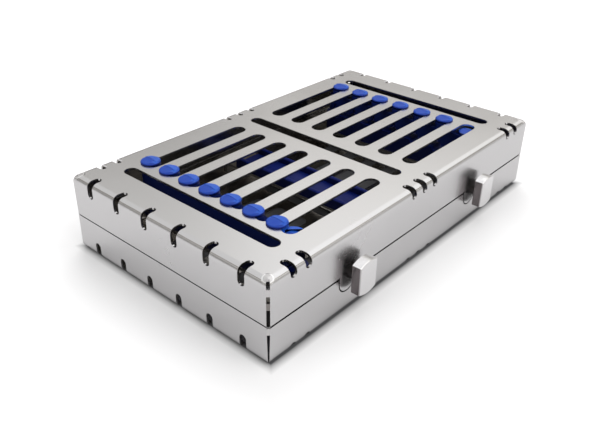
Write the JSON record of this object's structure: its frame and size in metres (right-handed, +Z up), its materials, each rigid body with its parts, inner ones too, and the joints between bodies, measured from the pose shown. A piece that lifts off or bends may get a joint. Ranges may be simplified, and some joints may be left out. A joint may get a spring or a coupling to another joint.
{
  "type": "sterilization container",
  "caption": "Flat slotted steel container for hand instruments: hinged lid over a base tray, quarter turn thumb latches, blue silicone rails inside.",
  "frame": {"origin": "bottom centre of the closed container, thumb plates and hinges included, on the plane it stands on", "axes": "+X along the long side to the right, +Y from the latches towards the hinges, +Z up"},
  "size_m": [0.2, 0.1312, 0.0406],
  "materials": {
    "tray_steel": "satin, bead blasted and electropolished",
    "bridge_steel": "satin",
    "hinge_steel": "satin",
    "pin_steel": "bright",
    "latch_steel": "satin cast steel, edges bright",
    "weld_steel": "ground weld",
    "silicone_blue": "matt moulded silicone"
  },
  "bodies": {
    "base": {"base_shell": "tray_steel", "base_corner_welds": "weld_steel", "base_rail_left": "silicone_blue", "rail_bridge_left": "bridge_steel", "hinge_base_leaf_left": "hinge_steel", "hinge_pin_left": "pin_steel", "latch_keeper_left": "bridge_steel", "base_rail_right": "silicone_blue", "rail_bridge_right": "bridge_steel", "hinge_base_leaf_right": "hinge_steel", "hinge_pin_right": "pin_steel", "latch_keeper_right": "bridge_steel", "base_rail_centre": "silicone_blue", "rail_bridge_centre": "bridge_steel"},
    "lid": {"lid_shell": "tray_steel", "lid_corner_welds": "weld_steel", "lid_rail_left": "silicone_blue", "hinge_lid_leaf_left": "hinge_steel", "latch_washer_left": "pin_steel", "lid_rail_right": "silicone_blue", "hinge_lid_leaf_right": "hinge_steel", "latch_washer_right": "pin_steel"},
    "latch_left": {"latch_head_left": "latch_steel", "latch_shank_left": "latch_steel", "latch_cam_left": "latch_steel", "latch_ring_left": "pin_steel"},
    "latch_right": {"latch_head_right": "latch_steel", "latch_shank_right": "latch_steel", "latch_cam_right": "latch_steel", "latch_ring_right": "pin_steel"}
  },
  "joints": [
    {"name": "lid_hinge", "type": "hinge", "parent": "base", "child": "lid", "pos_m": [0, 0.06348, 0.018], "axis": [-1, 0, 0], "range_deg": [0, 145]},
    {"name": "latch_left_turn", "type": "hinge", "parent": "lid", "child": "latch_left", "pos_m": [-0.0489, -0.05887, 0.017], "axis": [0, 1, 0], "range_deg": [0, 90]},
    {"name": "latch_right_turn", "type": "hinge", "parent": "lid", "child": "latch_right", "pos_m": [0.0489, -0.05887, 0.017], "axis": [0, 1, 0], "range_deg": [0, 90]}
  ]
}
